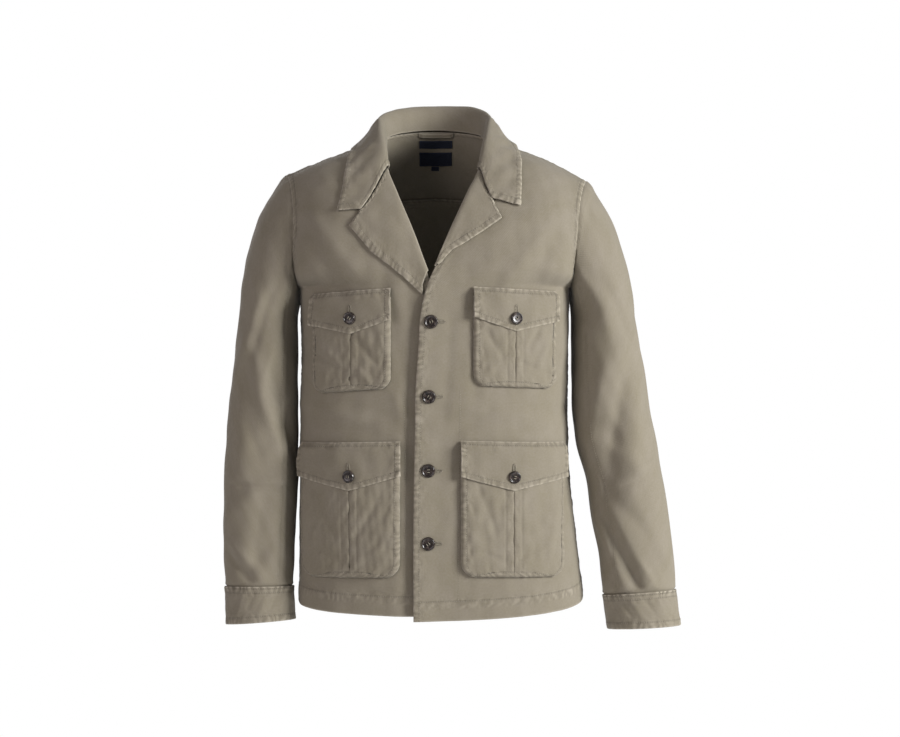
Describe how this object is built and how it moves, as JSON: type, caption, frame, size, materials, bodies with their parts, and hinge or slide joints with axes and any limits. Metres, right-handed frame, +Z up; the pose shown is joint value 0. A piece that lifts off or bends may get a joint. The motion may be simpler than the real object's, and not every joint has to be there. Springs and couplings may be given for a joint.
{
  "type": "safari jacket",
  "caption": "Long-sleeved safari jacket in washed khaki cotton drill, with bellows pockets, notched collar and a buttoned front.",
  "frame": {"origin": "midway between the shoulder tops at the height of the front neck seam's upper end, where the wearer's shoulders carry the jacket", "axes": "+Z up from hem to collar, +X towards the wearer's left sleeve, -Y towards the front, where the buttons are"},
  "size_m": [0.6787, 0.2532, 0.7942],
  "materials": {
    "front_left_finish": "matt",
    "front_right_finish": "matt",
    "back_panel_finish": "matt",
    "back_yoke_finish": "matt",
    "lapel_left_finish": "matt",
    "lapel_right_finish": "matt",
    "collar_finish": "matt",
    "sleeve_left_finish": "matt",
    "sleeve_right_finish": "matt",
    "cuff_left_finish": "matt",
    "cuff_right_finish": "matt",
    "pocket_chest_left_finish": "matt",
    "pocket_chest_right_finish": "matt",
    "pocket_hip_left_finish": "matt",
    "pocket_hip_right_finish": "matt",
    "flap_chest_left_finish": "matt",
    "flap_chest_right_finish": "matt",
    "flap_hip_left_finish": "matt",
    "flap_hip_right_finish": "matt",
    "hanger_loop_finish": "matt",
    "button_front_1_finish": "satin",
    "button_front_2_finish": "satin",
    "button_front_3_finish": "satin",
    "button_front_4_finish": "satin",
    "button_chest_left_finish": "satin",
    "button_chest_right_finish": "satin",
    "button_hip_left_finish": "satin",
    "button_hip_right_finish": "satin",
    "label_upper_finish": "matt",
    "label_lower_finish": "matt",
    "size_tab_finish": "matt"
  },
  "bodies": {
    "root": {"front_left": "front_left_finish", "front_right": "front_right_finish", "back_panel": "back_panel_finish", "back_yoke": "back_yoke_finish", "lapel_left": "lapel_left_finish", "lapel_right": "lapel_right_finish", "collar": "collar_finish", "sleeve_left": "sleeve_left_finish", "sleeve_right": "sleeve_right_finish", "cuff_left": "cuff_left_finish", "cuff_right": "cuff_right_finish", "pocket_chest_left": "pocket_chest_left_finish", "pocket_chest_right": "pocket_chest_right_finish", "pocket_hip_left": "pocket_hip_left_finish", "pocket_hip_right": "pocket_hip_right_finish", "flap_chest_left": "flap_chest_left_finish", "flap_chest_right": "flap_chest_right_finish", "flap_hip_left": "flap_hip_left_finish", "flap_hip_right": "flap_hip_right_finish", "hanger_loop": "hanger_loop_finish", "button_front_1": "button_front_1_finish", "button_front_2": "button_front_2_finish", "button_front_3": "button_front_3_finish", "button_front_4": "button_front_4_finish", "button_chest_left": "button_chest_left_finish", "button_chest_right": "button_chest_right_finish", "button_hip_left": "button_hip_left_finish", "button_hip_right": "button_hip_right_finish", "label_upper": "label_upper_finish", "label_lower": "label_lower_finish", "size_tab": "size_tab_finish"}
  },
  "joints": []
}
